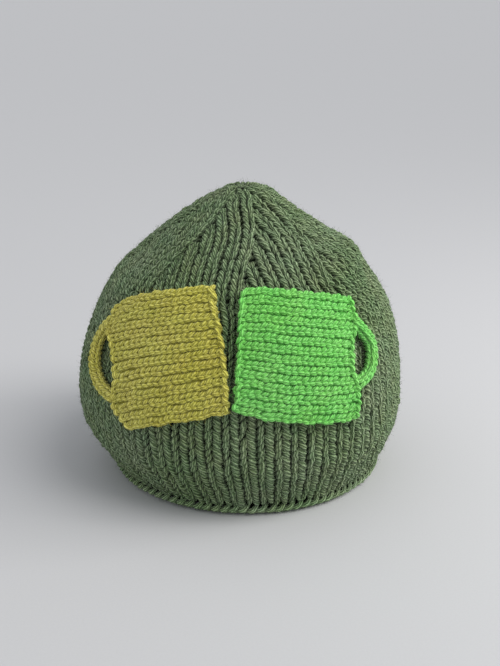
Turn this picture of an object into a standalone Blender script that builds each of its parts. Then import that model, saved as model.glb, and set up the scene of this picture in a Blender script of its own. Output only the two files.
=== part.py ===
"""Tea cosy knitted in 1x1 rib, with two knitted mugs sewn on the front.

Metres, +Z up. The hem stands on z = 0, the front faces -Y, the spout opening is at -X and the handle opening at +X.
A place on the cosy is given by its angle, in degrees from the middle of the front and positive towards +X, and by
the distance along the cloth up from the hem.
"""

import math
from collections import namedtuple

import bmesh
import bpy
import numpy as np
from mathutils import Vector

# ---- driving dimensions -------------------------------------------------------------------------------------------

Section = namedtuple("Section", "height radius centre_x centre_y")
SECTIONS = (
    Section(-0.0040, 0.0648, 0.0042, 0.0010),
    Section(0.0000, 0.0681, 0.0040, 0.0010),
    Section(0.0050, 0.0714, 0.0034, 0.0010),
    Section(0.0170, 0.0787, 0.0020, 0.0010),
    Section(0.0300, 0.0850, 0.0005, 0.0010),
    Section(0.0440, 0.0865, -0.0002, 0.0010),
    Section(0.0580, 0.0859, -0.0003, 0.0010),
    Section(0.0720, 0.0834, 0.0004, 0.0010),
    Section(0.0860, 0.0786, 0.0016, 0.0010),
    Section(0.0980, 0.0730, 0.0020, 0.0010),
    Section(0.1080, 0.0664, 0.0016, 0.0010),
    Section(0.1180, 0.0570, 0.0018, 0.0010),
    Section(0.1280, 0.0448, 0.0016, 0.0005),
    Section(0.1380, 0.0308, 0.0008, -0.0005),
    Section(0.1460, 0.0198, 0.0016, -0.0018),
    Section(0.1509, 0.0124, 0.0032, -0.0032),
    Section(0.1530, 0.0076, 0.0018, -0.0044),
    Section(0.1535, 0.0042, 0.0010, -0.0052),
    Section(0.1535, 0.0019, 0.0006, -0.0060),
)

Bump = namedtuple("Bump", "name angle along angle_reach along_reach rise")
BUMPS = (
    Bump("right_shoulder", 80.0, 0.1340, 24.0, 0.0085, 0.0040),
    Bump("left_shoulder", -74.0, 0.1340, 28.0, 0.0120, -0.0014),
    Bump("front_over_mugs", 2.0, 0.1450, 22.0, 0.0120, 0.0008),
    Bump("back_slack", 168.0, 0.0900, 30.0, 0.0300, -0.0015),
)

CLOTH = 0.0030            # thickness of the ribbed knitting
RIBS_AROUND = 64          # knit columns round the cosy
WEDGES = 8                # crown sections, each losing its ribs along its left edge
CROWN_START = 0.1050      # distance up the cloth where the crown starts
CROWN_PITCH = 0.0070      # width of a rib in the crown
ENDING_ROOM = 0.35        # share of its width at which a rib or groove ends at its wedge's left edge
RIB_DEPTH = 0.0018        # from the crest of a rib to the groove beside it
RIDGE_RISE = 0.0006       # how far the rib along a decrease line stands above the others
GATHER_RADIUS = 0.0300    # ribs flatten out inside this distance of the gathered top
GATHER_SLOPE = RIB_DEPTH / GATHER_RADIUS
HEM_BEAD = 0.0009         # roll of the knitted edge
HEM_BEAD_HEIGHT = 0.0045
HEM_BEAD_FULLNESS = 0.7   # below 1 the roll is fullest low down

SEAM_GAP = 0.0003
GATHER_SEAM_GAP = 0.0008  # the seams' ends open to this at the gathered top, where the panels' edges lean together
SELVEDGE = 0.0006         # width of the last strip of cloth along a seam
SELVEDGE_SHARE = 0.15     # the most it takes of a wedge near the gathered top
Opening = namedtuple("Opening", "side bottom top half_width")
OPENINGS = {
    "spout_opening": Opening(-1, 0.0190, 0.0880, 0.0190),
    "handle_opening": Opening(1, 0.0170, 0.1020, 0.0075),
}

MUG_CLOTH = 0.0022
MUG_WALES = 14            # knit columns of a mug, which run sideways
MUG_WALE_DEPTH = 0.0007
MUG_CLEARANCE = 0.0009    # air between the ribs' crests and what is sewn on them
MUG_HANDLE_RADIUS = 0.0024
MUG_HANDLE_STEP = 1.1     # length of a handle's segments, as a share of its width

# (angle, along) of points on each edge of a mug, left to right or bottom to top
MUGS = {
    "mug_olive": {
        "bottom": ((-36.6, 0.0528), (-28.1, 0.0578), (-18.1, 0.0623), (-3.2, 0.0683)),
        "top": ((-55.4, 0.1080), (-45.1, 0.1147), (-33.7, 0.1195), (-22.9, 0.1229), (-13.0, 0.1251)),
        "left": (
            (-36.6, 0.0528), (-44.4, 0.0630), (-44.7, 0.0745), (-50.5, 0.0870), (-57.6, 0.0965), (-55.4, 0.1080)
        ),
        "right": ((-3.2, 0.0683), (-5.5, 0.0870), (-9.2, 0.1094), (-13.0, 0.1251)),
    },
    "mug_green": {
        "bottom": ((-1.8, 0.0688), (12.2, 0.0634), (25.2, 0.0598), (39.9, 0.0568)),
        "top": ((-0.7, 0.1235), (6.9, 0.1244), (19.5, 0.1221), (32.5, 0.1187), (47.0, 0.1130)),
        "left": ((-1.8, 0.0688), (-2.1, 0.0871), (-1.8, 0.1040), (-0.7, 0.1235)),
        "right": (
            (39.9, 0.0568), (40.6, 0.0660), (39.4, 0.0790), (39.8, 0.0900), (43.0, 0.0990), (47.0, 0.1130)
        ),
    },
}

# (angle, along) of the route of each mug's handle
MUG_HANDLES = {
    "mug_olive_handle": (
        (-58.4, 0.0930), (-59.1, 0.0895), (-59.5, 0.0870), (-59.3, 0.0835), (-58.3, 0.0789),
        (-56.6, 0.0747), (-54.6, 0.0718), (-52.3, 0.0691), (-49.8, 0.0671), (-48.2, 0.0664),
    ),
    "mug_green_handle": (
        (46.3, 0.0977), (48.0, 0.0941), (49.0, 0.0915), (49.3, 0.0890), (49.2, 0.0861),
        (48.4, 0.0816), (47.4, 0.0786), (45.6, 0.0760), (43.4, 0.0744),
    ),
}

BODY_GREEN = (0.105, 0.140, 0.080)
OLIVE = (0.330, 0.310, 0.070)
BRIGHT_GREEN = (0.150, 0.420, 0.105)

# ---- the surface the cloth follows --------------------------------------------------------------------------------

WEDGE_ANGLE = 2 * math.pi / WEDGES
RIBS_PER_WEDGE = RIBS_AROUND // WEDGES
RIB_ANGLE = WEDGE_ANGLE / RIBS_PER_WEDGE


def smooth_curve(points, count):
    """Reads count evenly spaced points off a smooth curve through the given ones."""
    knots = np.asarray(points, float)
    chord = np.concatenate([[0.0], np.cumsum(np.linalg.norm(np.diff(knots, axis=0), axis=1))])
    slopes = np.gradient(knots, chord, axis=0)
    at = np.linspace(0.0, chord[-1], count)
    index = np.clip(np.searchsorted(chord, at, side="right") - 1, 0, len(chord) - 2)
    span = (chord[index + 1] - chord[index])[:, None]
    t = (at[:, None] - chord[index][:, None]) / span
    return (
        (2 * t**3 - 3 * t**2 + 1) * knots[index]
        + (t**3 - 2 * t**2 + t) * span * slopes[index]
        + (3 * t**2 - 2 * t**3) * knots[index + 1]
        + (t**3 - t**2) * span * slopes[index + 1]
    )


PROFILE_POINTS = 2400
SLOPE_STEP = 0.0004       # distance up the cloth over which its slope is read

PROFILE = smooth_curve(SECTIONS, PROFILE_POINTS)
PROFILE_ALONG = np.concatenate([[0.0], np.cumsum(np.hypot(np.diff(PROFILE[:, 0]), np.diff(PROFILE[:, 1])))])
PROFILE_ALONG -= np.interp(0.0, PROFILE[:, 0], PROFILE_ALONG)
TOP_ALONG = PROFILE_ALONG[-1]


def section_at(along):
    """Height, radius and centre of the cosy at a distance up the cloth, and the slope of its side there."""
    row = [float(np.interp(along, PROFILE_ALONG, PROFILE[:, k])) for k in range(4)]
    rise, spread = (
        np.interp(along + SLOPE_STEP, PROFILE_ALONG, PROFILE[:, k])
        - np.interp(along - SLOPE_STEP, PROFILE_ALONG, PROFILE[:, k])
        for k in (0, 1)
    )
    length = math.hypot(rise, spread)
    return Section(*row), rise / length, spread / length


def bump_lift(angle, along):
    """How far the uneven places of the cloth stand out at an angle in radians."""
    lift = 0.0
    for bump in BUMPS:
        turn = (math.degrees(angle) - bump.angle + 180.0) % 360.0 - 180.0
        lift += bump.rise * math.exp(-((turn / bump.angle_reach) ** 2) - ((along - bump.along) / bump.along_reach) ** 2)
    return lift


def hem_lift(along):
    """The knitted edge's roll."""
    if along >= HEM_BEAD_HEIGHT:
        return 0.0
    return HEM_BEAD * math.sin(math.pi * (max(0.0, along) / HEM_BEAD_HEIGHT) ** HEM_BEAD_FULLNESS)


def surface_point(angle, along, lift=0.0):
    """A point lift metres outside the ribs' crests."""
    section, rise, spread = section_at(along)
    lift += bump_lift(angle, along) + hem_lift(along)
    radius = section.radius + lift * rise
    return Vector((
        section.centre_x + radius * math.sin(angle),
        section.centre_y - radius * math.cos(angle),
        section.height - lift * spread,
    ))


def rib_pitch(radius, along):
    """Width of a rib. All ribs share the wall; in the crown each wedge keeps fewer ribs, of one width."""
    shared = radius * RIB_ANGLE
    if along < CROWN_START:
        return shared
    return min(max(shared, CROWN_PITCH), radius * WEDGE_ANGLE)


def rib_place(rib, radius, along):
    """Angle and lift of a rib counted from the middle of the front; whole numbers are grooves and halves are crests.

    Ribs run parallel to their wedge's right edge, and in the crown they end one by one at its left edge.
    """
    pitch = rib_pitch(radius, along)
    right_edge = math.ceil(rib / RIBS_PER_WEDGE - 1e-9) * RIBS_PER_WEDGE
    offset = (right_edge - rib) * pitch
    room = radius * WEDGE_ANGLE - offset
    depth = min(RIB_DEPTH, GATHER_SLOPE * radius)
    if room < ENDING_ROOM * pitch:
        return (right_edge - RIBS_PER_WEDGE) * RIB_ANGLE, -depth
    angle = right_edge * RIB_ANGLE - offset / radius
    if float(rib).is_integer():
        return angle, -depth
    lift = (min(1.0, 2.0 * room / pitch) - 1.0) * depth
    if right_edge - rib < 1.0:
        lift += RIDGE_RISE * min(1.0, pitch / (radius * RIB_ANGLE) - 1.0, radius / GATHER_RADIUS)
    return angle, lift


# ---- making and cutting objects -----------------------------------------------------------------------------------


MEETING = 0.00002         # points this close become one


def clear_scene():
    for old in list(bpy.data.objects):
        bpy.data.objects.remove(old, do_unlink=True)


def new_collection(name):
    collection = bpy.data.collections.new(name)
    bpy.context.scene.collection.children.link(collection)
    return collection


def material(name, color, roughness=0.9):
    made = bpy.data.materials.new(name)
    made.use_nodes = True
    shader = made.node_tree.nodes["Principled BSDF"]
    shader.inputs["Base Color"].default_value = (*color, 1.0)
    shader.inputs["Roughness"].default_value = roughness
    shader.inputs["Metallic"].default_value = 0.0
    return made


def grid_object(name, columns, rows, place, collection):
    """A grid whose vertex at column i and row j goes to place(i, j); vertices that meet become one."""
    mesh = bmesh.new()
    bmesh.ops.create_grid(mesh, x_segments=columns, y_segments=rows, size=0.5)
    for vertex in mesh.verts:
        column = round((vertex.co.x + 0.5) * columns)
        row = round((vertex.co.y + 0.5) * rows)
        vertex.co = place(column, row)
    bmesh.ops.remove_doubles(mesh, verts=mesh.verts, dist=MEETING)
    bmesh.ops.recalc_face_normals(mesh, faces=mesh.faces)
    data = bpy.data.meshes.new(name)
    mesh.to_mesh(data)
    mesh.free()
    made = bpy.data.objects.new(name, data)
    collection.objects.link(made)
    return made


def solidify_inwards(target, thickness):
    shell = target.modifiers.new("cloth", "SOLIDIFY")
    shell.thickness = thickness
    shell.offset = -1.0


def as_cutter(cutter):
    cutter.hide_render = True
    cutter.display_type = "WIRE"


def cut(target, cutter):
    boolean = target.modifiers.new("cut_" + cutter.name, "BOOLEAN")
    boolean.operation = "DIFFERENCE"
    boolean.object = cutter


def curve_to_mesh_object(curve, collection):
    """Replaces a curve object by a mesh object with welded caps."""
    evaluated = curve.evaluated_get(bpy.context.evaluated_depsgraph_get())
    data = bpy.data.meshes.new_from_object(evaluated)
    mesh = bmesh.new()
    mesh.from_mesh(data)
    bmesh.ops.remove_doubles(mesh, verts=mesh.verts, dist=0.000001)
    bmesh.ops.recalc_face_normals(mesh, faces=mesh.faces)
    mesh.to_mesh(data)
    mesh.free()
    name, matrix = curve.name, curve.matrix_world.copy()
    bpy.data.objects.remove(curve, do_unlink=True)
    made = bpy.data.objects.new(name, data)
    made.matrix_world = matrix
    collection.objects.link(made)
    return made


# ---- cutters ------------------------------------------------------------------------------------------------------

CUTTER_REACH = 0.130      # cutters end well outside the cosy
CUTTER_INNER = 0.040      # an opening's cutter starts inside the cavity
CUTTER_FLOOR = 0.020
OPENING_STEPS = 14
OPENING_FULLNESS = 0.75   # 1 is a slim almond, less is fuller


def hem_cutter(collection):
    """Trims the hem level at z = 0."""
    bpy.ops.mesh.primitive_cube_add(size=1.0, location=(0.0, 0.0, -CUTTER_FLOOR / 2))
    cutter = bpy.context.active_object
    cutter.name = "hem_cutter"
    for old in list(cutter.users_collection):
        old.objects.unlink(cutter)
    collection.objects.link(cutter)
    for vertex in cutter.data.vertices:
        vertex.co = Vector((
            vertex.co.x * 2 * CUTTER_REACH, vertex.co.y * 2 * CUTTER_REACH, vertex.co.z * CUTTER_FLOOR
        ))
    as_cutter(cutter)
    return cutter


def prism_cutter(name, outline, middle, width, collection):
    """A cutter of one outline, given as (y, z) points, drawn out along X."""
    curve = bpy.data.curves.new(name, "CURVE")
    curve.dimensions = "2D"
    curve.fill_mode = "BOTH"
    curve.extrude = width / 2
    spline = curve.splines.new("POLY")
    spline.points.add(len(outline) - 1)
    for point, (across, height) in zip(spline.points, outline):
        point.co = (across, height, 0.0, 1.0)
    spline.use_cyclic_u = True
    drawn = bpy.data.objects.new(name, curve)
    drawn.rotation_euler = (math.pi / 2, 0.0, math.pi / 2)
    drawn.location.x = middle
    collection.objects.link(drawn)
    bpy.context.view_layer.update()
    cutter = curve_to_mesh_object(drawn, collection)
    as_cutter(cutter)
    return cutter


def opening_cutter(name, opening, collection):
    """Bows both panels' edges apart along an opening."""
    outline = []
    for facing in (-1, 1):
        for t in np.linspace(0.0, 1.0, OPENING_STEPS + 1)[:-1]:
            up = t if facing < 0 else 1.0 - t
            height = opening.bottom + up * (opening.top - opening.bottom)
            bow = opening.half_width * math.sin(math.pi * up) ** OPENING_FULLNESS
            outline.append((SECTIONS[0].centre_y + facing * bow, height))
    middle = opening.side * (CUTTER_REACH + CUTTER_INNER) / 2
    return prism_cutter(name, outline, middle, CUTTER_REACH - CUTTER_INNER, collection)


# ---- the panels ---------------------------------------------------------------------------------------------------

HEM_ROWS = (-0.0035, 0.0006, 0.0022, 0.0045, 0.0075)
WALL_ROWS = 7
CROWN_ROWS = 11
GATHER_ROW = 0.0030       # the last row of points lies level round the gathered top


def row_positions():
    """Distances up the cloth of the rows of points."""
    wall = list(np.linspace(HEM_ROWS[-1], CROWN_START, WALL_ROWS + 1))[1:]
    crown = list(np.linspace(CROWN_START, TOP_ALONG - GATHER_ROW, CROWN_ROWS + 1))[1:]
    return list(HEM_ROWS) + wall + crown + [TOP_ALONG]


def panel(name, middle_rib, panel_cutters, look, collection):
    """Half of the cosy, from seam to seam, with its knitted edge, ribs and share of the crown."""
    rows = row_positions()
    ribs = RIBS_AROUND // 2
    middle_angle = middle_rib * RIB_ANGLE
    inner_columns = 2 * ribs + 1

    def place(column, row):
        """The first and last columns are the panel's edges, and the next ones stay a selvedge's width inside."""
        along = rows[row]
        radius = section_at(along)[0].radius
        gap = SEAM_GAP + (GATHER_SEAM_GAP - SEAM_GAP) * max(0.0, 1.0 - radius / GATHER_RADIUS)
        half = math.pi / 2 - gap / 2 / radius
        inside = half - min(SELVEDGE, SELVEDGE_SHARE * radius * WEDGE_ANGLE) / radius
        rib = middle_rib - ribs / 2 + 0.5 * (column - 1)
        angle, lift = rib_place(min(max(rib, middle_rib - ribs / 2), middle_rib + ribs / 2), radius, along)
        limit = half if column in (0, inner_columns + 1) else inside
        return surface_point(middle_angle + min(max(angle - middle_angle, -limit), limit), along, lift)

    made = grid_object(name, inner_columns + 1, len(rows) - 1, place, collection)
    solidify_inwards(made, CLOTH)
    for cutter in panel_cutters:
        cut(made, cutter)
    made.data.materials.append(look)
    return made


# ---- the mugs -----------------------------------------------------------------------------------------------------

MUG_COLUMNS = 9
BELLY_RADIUS = max(section.radius for section in SECTIONS)


def mug(name, edges, look, collection):
    """A mug knitted sideways, lying on the ribs' crests."""
    rows = 2 * MUG_WALES
    flat = {side: [(math.radians(angle) * BELLY_RADIUS, along) for angle, along in edges[side]] for side in edges}
    bottom, top = (smooth_curve(flat[side], MUG_COLUMNS + 1) for side in ("bottom", "top"))
    left, right = (smooth_curve(flat[side], rows + 1) for side in ("left", "right"))

    def place(column, row):
        a, b = column / MUG_COLUMNS, row / rows
        between_sides = (1 - a) * left[row] + a * right[row]
        between_ends = (1 - b) * bottom[column] + b * top[column]
        corners = (1 - a) * ((1 - b) * bottom[0] + b * top[0]) + a * ((1 - b) * bottom[-1] + b * top[-1])
        across, along = between_sides + between_ends - corners
        groove = MUG_WALE_DEPTH if row % 2 == 0 else 0.0
        return surface_point(across / BELLY_RADIUS, along, MUG_CLEARANCE + MUG_CLOTH + MUG_WALE_DEPTH - groove)

    made = grid_object(name, MUG_COLUMNS, rows, place, collection)
    solidify_inwards(made, MUG_CLOTH)
    made.data.materials.append(look)
    return made


def mug_handle(name, route, look, collection):
    """A knitted cord sewn down in a loop beside its mug."""
    lift = MUG_CLEARANCE + MUG_HANDLE_RADIUS
    points = [surface_point(math.radians(angle), along, lift) for angle, along in route]
    length = sum((b - a).length for a, b in zip(points, points[1:]))
    steps = round(length / (2.0 * MUG_HANDLE_RADIUS * MUG_HANDLE_STEP))
    curve = bpy.data.curves.new(name, "CURVE")
    curve.dimensions = "3D"
    curve.bevel_depth = MUG_HANDLE_RADIUS
    curve.bevel_resolution = 2
    curve.use_fill_caps = True
    spline = curve.splines.new("POLY")
    spline.points.add(steps)
    for point, place in zip(spline.points, smooth_curve(points, steps + 1)):
        point.co = (*place, 1.0)
    made = bpy.data.objects.new(name, curve)
    curve.materials.append(look)
    collection.objects.link(made)
    return made


# ---- the cosy -----------------------------------------------------------------------------------------------------


def main():
    clear_scene()
    parts = new_collection("tea_cosy")
    cutters = new_collection("cutters")
    body = material("ribbed_yarn", BODY_GREEN)
    looks = {"mug_olive": material("olive_yarn", OLIVE), "mug_green": material("bright_green_yarn", BRIGHT_GREEN)}

    shared = [hem_cutter(cutters)]
    shared += [opening_cutter(name + "_cutter", opening, cutters) for name, opening in OPENINGS.items()]
    for name, middle_rib in (("cosy_front", 0), ("cosy_back", RIBS_AROUND // 2)):
        panel(name, middle_rib, shared, body, parts)

    for name, edges in MUGS.items():
        mug(name, edges, looks[name], parts)
    for name, route in MUG_HANDLES.items():
        mug_handle(name, route, looks[name.removesuffix("_handle")], parts)


main()
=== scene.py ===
"""Looks of a tea cosy in 1x1 rib with two knitted mugs, built stitch by stitch on the solids' own surface.

Lengths are in metres unless a name ends in _MM. A place on the cosy is (rib, along): its rib counted from the
middle of the front towards +X, and the distance up the cloth from the hem. lift is the height over the ribs'
crests.
"""

import math
from collections import namedtuple

import bpy
import numpy as np
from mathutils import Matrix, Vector


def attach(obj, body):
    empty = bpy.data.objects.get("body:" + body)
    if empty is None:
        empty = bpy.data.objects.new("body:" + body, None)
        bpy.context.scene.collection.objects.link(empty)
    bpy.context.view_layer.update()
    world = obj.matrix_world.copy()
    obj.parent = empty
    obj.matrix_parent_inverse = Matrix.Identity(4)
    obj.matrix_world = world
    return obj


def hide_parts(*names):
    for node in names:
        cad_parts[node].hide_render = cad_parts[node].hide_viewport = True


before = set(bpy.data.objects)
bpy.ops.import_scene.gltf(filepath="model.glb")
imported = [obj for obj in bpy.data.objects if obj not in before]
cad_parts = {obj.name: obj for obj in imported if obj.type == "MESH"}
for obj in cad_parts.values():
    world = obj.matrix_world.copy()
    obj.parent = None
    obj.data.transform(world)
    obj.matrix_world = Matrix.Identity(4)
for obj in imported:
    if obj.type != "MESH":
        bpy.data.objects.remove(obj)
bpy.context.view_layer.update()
random = np.random.default_rng(11)
MM = 0.001

# ---- the surface, as the solids have it ------------------------------------------------------------------

Section = namedtuple("Section", "height radius centre_x centre_y")
HEIGHT, RADIUS, CENTRE_X, CENTRE_Y = range(4)    # its columns
SECTIONS = (
    Section(-0.0040, 0.0648, 0.0042, 0.0010),
    Section(0.0000, 0.0681, 0.0040, 0.0010),
    Section(0.0050, 0.0714, 0.0034, 0.0010),
    Section(0.0170, 0.0787, 0.0020, 0.0010),
    Section(0.0300, 0.0850, 0.0005, 0.0010),
    Section(0.0440, 0.0865, -0.0002, 0.0010),
    Section(0.0580, 0.0859, -0.0003, 0.0010),
    Section(0.0720, 0.0834, 0.0004, 0.0010),
    Section(0.0860, 0.0786, 0.0016, 0.0010),
    Section(0.0980, 0.0730, 0.0020, 0.0010),
    Section(0.1080, 0.0664, 0.0016, 0.0010),
    Section(0.1180, 0.0570, 0.0018, 0.0010),
    Section(0.1280, 0.0448, 0.0016, 0.0005),
    Section(0.1380, 0.0308, 0.0008, -0.0005),
    Section(0.1460, 0.0198, 0.0016, -0.0018),
    Section(0.1509, 0.0124, 0.0032, -0.0032),
    Section(0.1530, 0.0076, 0.0018, -0.0044),
    Section(0.1535, 0.0042, 0.0010, -0.0052),
    Section(0.1535, 0.0019, 0.0006, -0.0060),
)

Bump = namedtuple("Bump", "name angle along angle_reach along_reach rise")
BUMPS = (
    Bump("right_shoulder", 80.0, 0.1340, 24.0, 0.0085, 0.0040),
    Bump("left_shoulder", -74.0, 0.1340, 28.0, 0.0120, -0.0014),
    Bump("front_over_mugs", 2.0, 0.1450, 22.0, 0.0120, 0.0008),
    Bump("back_slack", 168.0, 0.0900, 30.0, 0.0300, -0.0015),
)

RIBS_AROUND = 64
WEDGES = 8
FIRST_WEDGE = -WEDGES // 4    # the front panel's first, on the left
RIBS_PER_WEDGE = RIBS_AROUND // WEDGES
RIB_ANGLE = 2 * math.pi / RIBS_AROUND
WEDGE_ANGLE = 2 * math.pi / WEDGES
CROWN_START = 0.1050
CROWN_PITCH = 0.0070
RIB_DEPTH = 0.0018
RIDGE_RISE = 0.0006
GATHER_RADIUS = 0.0300
HEM_BEAD = 0.0009
HEM_BEAD_HEIGHT = 0.0045
HEM_BEAD_FULLNESS = 0.7
SEAM_GAP = 0.0003

Opening = namedtuple("Opening", "side bottom top half_width")
OPENINGS = (Opening(-1, 0.0190, 0.0880, 0.0190), Opening(1, 0.0170, 0.1020, 0.0075))
OPENING_FULLNESS = 0.75
BOW_START = math.radians(38)  # ribs this far from the front's middle start to bow round the openings
BOW_EASE = 1.3

MUG_CLOTH = 0.0022
MUG_WALES = 14
MUG_CLEARANCE = 0.0009
MUG_HANDLE_RADIUS = 0.0024
# outlines and routes are (degrees from the front's middle, along) points
MUGS = {
    "mug_olive": {
        "bottom": ((-36.6, 0.0528), (-28.1, 0.0578), (-18.1, 0.0623), (-3.2, 0.0683)),
        "top": ((-55.4, 0.1080), (-45.1, 0.1147), (-33.7, 0.1195), (-22.9, 0.1229), (-13.0, 0.1251)),
        "left": (
            (-36.6, 0.0528), (-44.4, 0.0630), (-44.7, 0.0745), (-50.5, 0.0870),
            (-57.6, 0.0965), (-55.4, 0.1080),
        ),
        "right": ((-3.2, 0.0683), (-5.5, 0.0870), (-9.2, 0.1094), (-13.0, 0.1251)),
    },
    "mug_green": {
        "bottom": ((-1.8, 0.0688), (12.2, 0.0634), (25.2, 0.0598), (39.9, 0.0568)),
        "top": ((-0.7, 0.1235), (6.9, 0.1244), (19.5, 0.1221), (32.5, 0.1187), (47.0, 0.1130)),
        "left": ((-1.8, 0.0688), (-2.1, 0.0871), (-1.8, 0.1040), (-0.7, 0.1235)),
        "right": (
            (39.9, 0.0568), (40.6, 0.0660), (39.4, 0.0790), (39.8, 0.0900),
            (43.0, 0.0990), (47.0, 0.1130),
        ),
    },
}
MUG_HANDLES = {
    "mug_olive_handle": (
        (-58.4, 0.0930), (-59.1, 0.0895), (-59.5, 0.0870), (-59.3, 0.0835), (-58.3, 0.0789),
        (-56.6, 0.0747), (-54.6, 0.0718), (-52.3, 0.0691), (-49.8, 0.0671), (-48.2, 0.0664),
    ),
    "mug_green_handle": (
        (46.3, 0.0977), (48.0, 0.0941), (49.0, 0.0915), (49.3, 0.0890), (49.2, 0.0861),
        (48.4, 0.0816), (47.4, 0.0786), (45.6, 0.0760), (43.4, 0.0744),
    ),
}
# each handle's ends run on over its mug's edge
HANDLE_ROOTS = {
    "mug_olive_handle": ((-57.0, 0.0968), (-44.4, 0.0652)),
    "mug_green_handle": ((43.6, 0.1026), (40.0, 0.0732)),
}


def smooth_curve(points, count):
    """Reads count evenly spaced points off a smooth curve through the given ones."""
    knots = np.asarray(points, float)
    chord = np.concatenate([[0.0], np.cumsum(np.linalg.norm(np.diff(knots, axis=0), axis=1))])
    slopes = np.gradient(knots, chord, axis=0)
    at = np.linspace(0.0, chord[-1], count)
    index = np.clip(np.searchsorted(chord, at, side="right") - 1, 0, len(chord) - 2)
    span = (chord[index + 1] - chord[index])[:, None]
    t = (at[:, None] - chord[index][:, None]) / span
    return (
        (2 * t**3 - 3 * t**2 + 1) * knots[index]
        + (t**3 - 2 * t**2 + t) * span * slopes[index]
        + (3 * t**2 - 2 * t**3) * knots[index + 1]
        + (t**3 - t**2) * span * slopes[index + 1]
    )


PROFILE_POINTS = 2400
SLOPE_STEP = 0.0004
PROFILE = smooth_curve(SECTIONS, PROFILE_POINTS)
PROFILE_STEPS = np.hypot(np.diff(PROFILE[:, HEIGHT]), np.diff(PROFILE[:, RADIUS]))
PROFILE_ALONG = np.concatenate([[0.0], np.cumsum(PROFILE_STEPS)])
PROFILE_ALONG -= np.interp(0.0, PROFILE[:, HEIGHT], PROFILE_ALONG)
TOP_ALONG = PROFILE_ALONG[-1]
BELLY_RADIUS = max(section.radius for section in SECTIONS)

# how far the crown's decrease lines lean towards +X at the front as they climb; the solids leave this out
Lean = namedtuple("Lean", "along degrees")
LEANS = (
    Lean(0.1050, 0.0),
    Lean(0.1290, 0.0),
    Lean(0.1420, 3.5),
    Lean(0.1540, 9.5),
    Lean(0.1660, 14.5),
    Lean(0.1790, 15.0),
    Lean(0.1950, 13.0),
)
LEAN_POINTS = 200
LEAN_UNITS = np.array((1 / MM, 1.0))    # the curve is drawn in millimetres against degrees
LEAN_CURVE = smooth_curve(LEANS * LEAN_UNITS, LEAN_POINTS) / LEAN_UNITS


def profile(along, column):
    """A column of SECTIONS at distances up the cloth."""
    return np.interp(along, PROFILE_ALONG, PROFILE[:, column])


def radius_at(along):
    return profile(along, RADIUS)


def surface(angle, along, lift):
    """Points at lift over the ribs' crests, for arrays of angles in radians and distances up the cloth."""
    rise, spread = (profile(along + SLOPE_STEP, k) - profile(along - SLOPE_STEP, k) for k in (HEIGHT, RADIUS))
    length = np.hypot(rise, spread)
    rise, spread = rise / length, spread / length
    for bump in BUMPS:
        turn = (np.degrees(angle) - bump.angle + 180.0) % 360.0 - 180.0
        near = ((turn / bump.angle_reach) ** 2) + ((along - bump.along) / bump.along_reach) ** 2
        lift = lift + bump.rise * np.exp(-near)
    bead = np.clip(along / HEM_BEAD_HEIGHT, 0.0, 1.0) ** HEM_BEAD_FULLNESS
    lift = lift + HEM_BEAD * np.sin(math.pi * bead)
    out = radius_at(along) + lift * rise
    return np.stack([
        profile(along, CENTRE_X) + out * np.sin(angle),
        profile(along, CENTRE_Y) - out * np.cos(angle),
        profile(along, HEIGHT) - lift * spread,
    ], axis=-1)


def rib_pitch(along):
    """Width of a rib: shared round the wall, and of one width in the crown, where each wedge keeps fewer."""
    radius = radius_at(along)
    crown = np.minimum(np.maximum(radius * RIB_ANGLE, CROWN_PITCH), radius * WEDGE_ANGLE)
    return np.where(along < CROWN_START, radius * RIB_ANGLE, crown)


def crown_lean(along):
    return np.radians(np.interp(along, LEAN_CURVE[:, 0], LEAN_CURVE[:, 1]))


def bow_round_openings(angle, along):
    """Draws the ribs aside to clear the openings and the side seams."""
    middle = np.round(angle / math.pi) * math.pi
    turn = angle - middle
    height, radius = profile(along, HEIGHT), radius_at(along)
    clear = np.full(np.shape(angle), SEAM_GAP / 2)
    for opening in OPENINGS:
        up = np.clip((height - opening.bottom) / (opening.top - opening.bottom), 0.0, 1.0)
        bow = opening.half_width * np.sin(math.pi * up) ** OPENING_FULLNESS
        clear = clear + np.where(np.sign(np.sin(angle)) == opening.side, bow, 0.0)
    room = np.arcsin(np.clip(clear / radius, 0.0, 1.0))
    share = np.clip((np.abs(turn) - BOW_START) / (math.pi / 2 - BOW_START), 0.0, 1.0)
    return middle + turn - np.sign(turn) * room * share**BOW_EASE


def rib_angle(wedge, rib, along):
    """The angle of places on a wedge's ribs, which are counted back from its right edge."""
    right_edge = (wedge + 1) * RIBS_PER_WEDGE
    return right_edge * RIB_ANGLE - (right_edge - rib) * rib_pitch(along) / radius_at(along)


def on_ribs(wedge):
    """Makes the placing function of a wedge's ribs."""

    def place(rib, along, lift):
        angle = rib_angle(wedge, rib, along)
        return surface(bow_round_openings(angle, along) + crown_lean(along), along, lift)

    return place


# ---- building yarn ---------------------------------------------------------------------------------------

AROUND = np.radians(np.linspace(-112, 112, 8))    # points across a strand; its underside is never seen
STEPS = np.linspace(0.0, 1.0, 6)[None]            # shares of the way along a strand
ARCH = np.sin(math.pi * STEPS)
NORMAL_STEP = 0.0002
TINY = 1e-9
PLY_SLOPE = 0.80          # tangent of the angle between a yarn and its plies
PLY_PITCH = 0.00100       # distance between two plies
UV_SPREAD = 50            # strands start at random over this much of their fibres' noise
PAINTED_SHADE_END, PAINTED_SHADE_EDGE = 0.10, 0.25    # painted shade: how much brightness a strand keeps at its ends and sides
PAINTED_SHADE_EASE = 0.7

HAIR_LENGTH = 0.0024      # of a loose fibre
HAIR_WIDTH = 0.00009
HAIR_OUT, HAIR_OUT_SPREAD, HAIR_ALONG, HAIR_ACROSS = 0.35, 0.3, 0.8, 0.5    # shares of its heading
HAIR_BEND, HAIR_DROOP, HAIR_TAPER = 0.35, 0.45, 0.7
HAIR_PAINTED_SHADING = 0.8          # painted shade: how much brightness it keeps
HAIR_TURN = 0.1           # share of a ply that it takes its tone from, at the ply's crown, where the plies' tone is a painted highlight
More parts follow.
